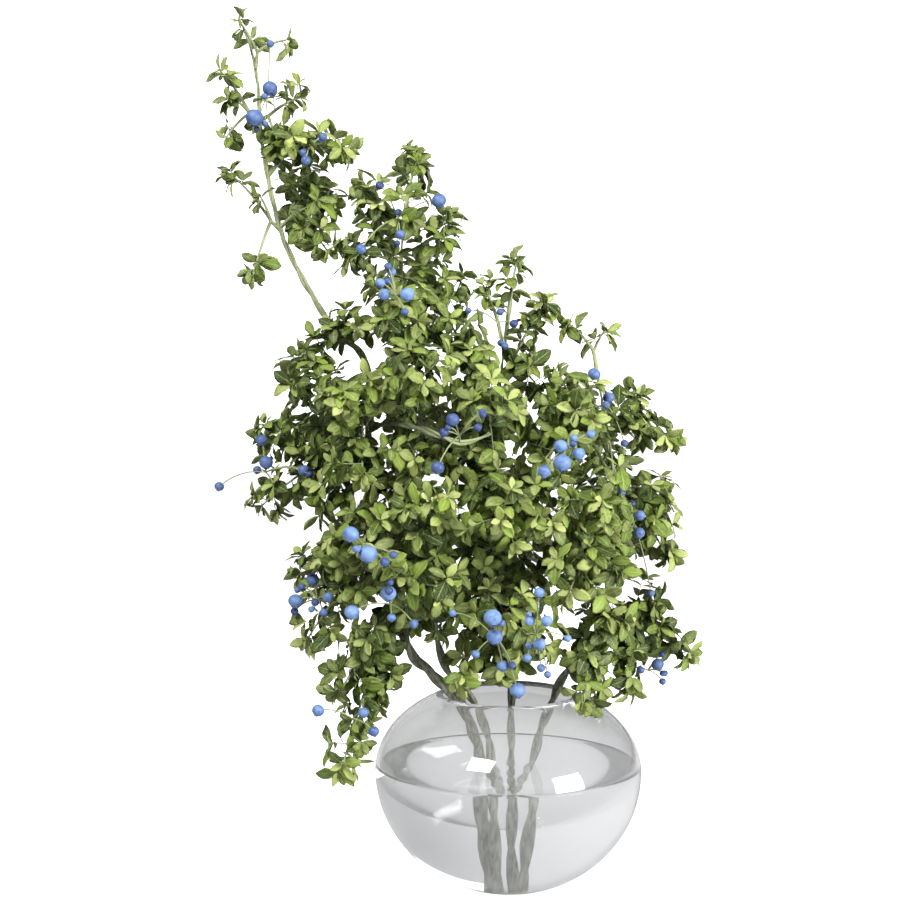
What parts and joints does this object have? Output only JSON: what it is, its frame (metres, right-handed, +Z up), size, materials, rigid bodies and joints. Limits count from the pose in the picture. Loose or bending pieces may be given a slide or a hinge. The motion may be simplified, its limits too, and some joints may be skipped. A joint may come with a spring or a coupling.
{
  "type": "blueberry branches in a glass bowl vase",
  "caption": "Cut blueberry branches with leaves and ripe berries, standing in a round clear glass bowl vase half full of water; a table decoration.",
  "frame": {"origin": "centre of the vase's flat underside, on the surface it stands on", "axes": "+Z up through the vase's axis; seen along +Y, +X is to the right and the longest branch leans to -X"},
  "size_m": [0.4563, 0.2751, 0.7932],
  "materials": {
    "glass": "clear thin soda-lime glass, polished, very faint grey",
    "water": "still clear water, faint grey",
    "bark": "ridged olive grey-brown bark, matt",
    "leaf": "leathery green leaf with a paler midrib, half gloss",
    "berry": "blue skin under a pale waxy bloom, soft sheen"
  },
  "bodies": {
    "root": {"vase": "glass", "water": "water", "left_stem": "bark", "upright_stem": "bark", "middle_stem": "bark", "right_stem": "bark", "cross_stem": "bark", "left_bough_01": "leaf", "left_bough_02": "leaf", "left_bough_03": "leaf", "left_bough_04": "leaf", "left_bough_05": "leaf", "left_bough_06": "leaf", "left_bough_07": "leaf", "left_bough_08": "leaf", "left_bough_09": "leaf", "left_bough_10": "leaf", "left_bough_11": "leaf", "left_bough_12": "leaf", "upright_bough_01": "leaf", "upright_bough_02": "leaf", "upright_bough_03": "leaf", "upright_bough_04": "leaf", "upright_bough_05": "leaf", "upright_bough_06": "leaf", "upright_bough_07": "leaf", "upright_bough_08": "leaf", "middle_bough_01": "leaf", "middle_bough_02": "leaf", "middle_bough_03": "leaf", "middle_bough_04": "leaf", "middle_bough_05": "leaf", "middle_bough_06": "leaf", "middle_bough_07": "leaf", "middle_bough_08": "leaf", "right_bough_01": "leaf", "right_bough_02": "leaf", "right_bough_03": "leaf", "right_bough_04": "leaf", "right_bough_05": "leaf", "right_bough_06": "leaf", "right_bough_07": "leaf", "right_bough_08": "leaf", "spike_berries": "berry", "spike_side_berries": "berry", "peak_berries": "berry", "peak_front_berries": "berry", "crown_berries": "berry", "shoulder_berries": "berry", "right_front_berries": "berry", "right_side_berries": "berry", "centre_berries": "berry", "left_lobe_berries": "berry", "left_front_berries": "berry", "low_left_berries": "berry", "low_middle_left_berries": "berry", "low_middle_berries": "berry", "low_right_berries": "berry", "hanging_berries": "berry", "right_bough_berries": "berry"}
  },
  "joints": []
}
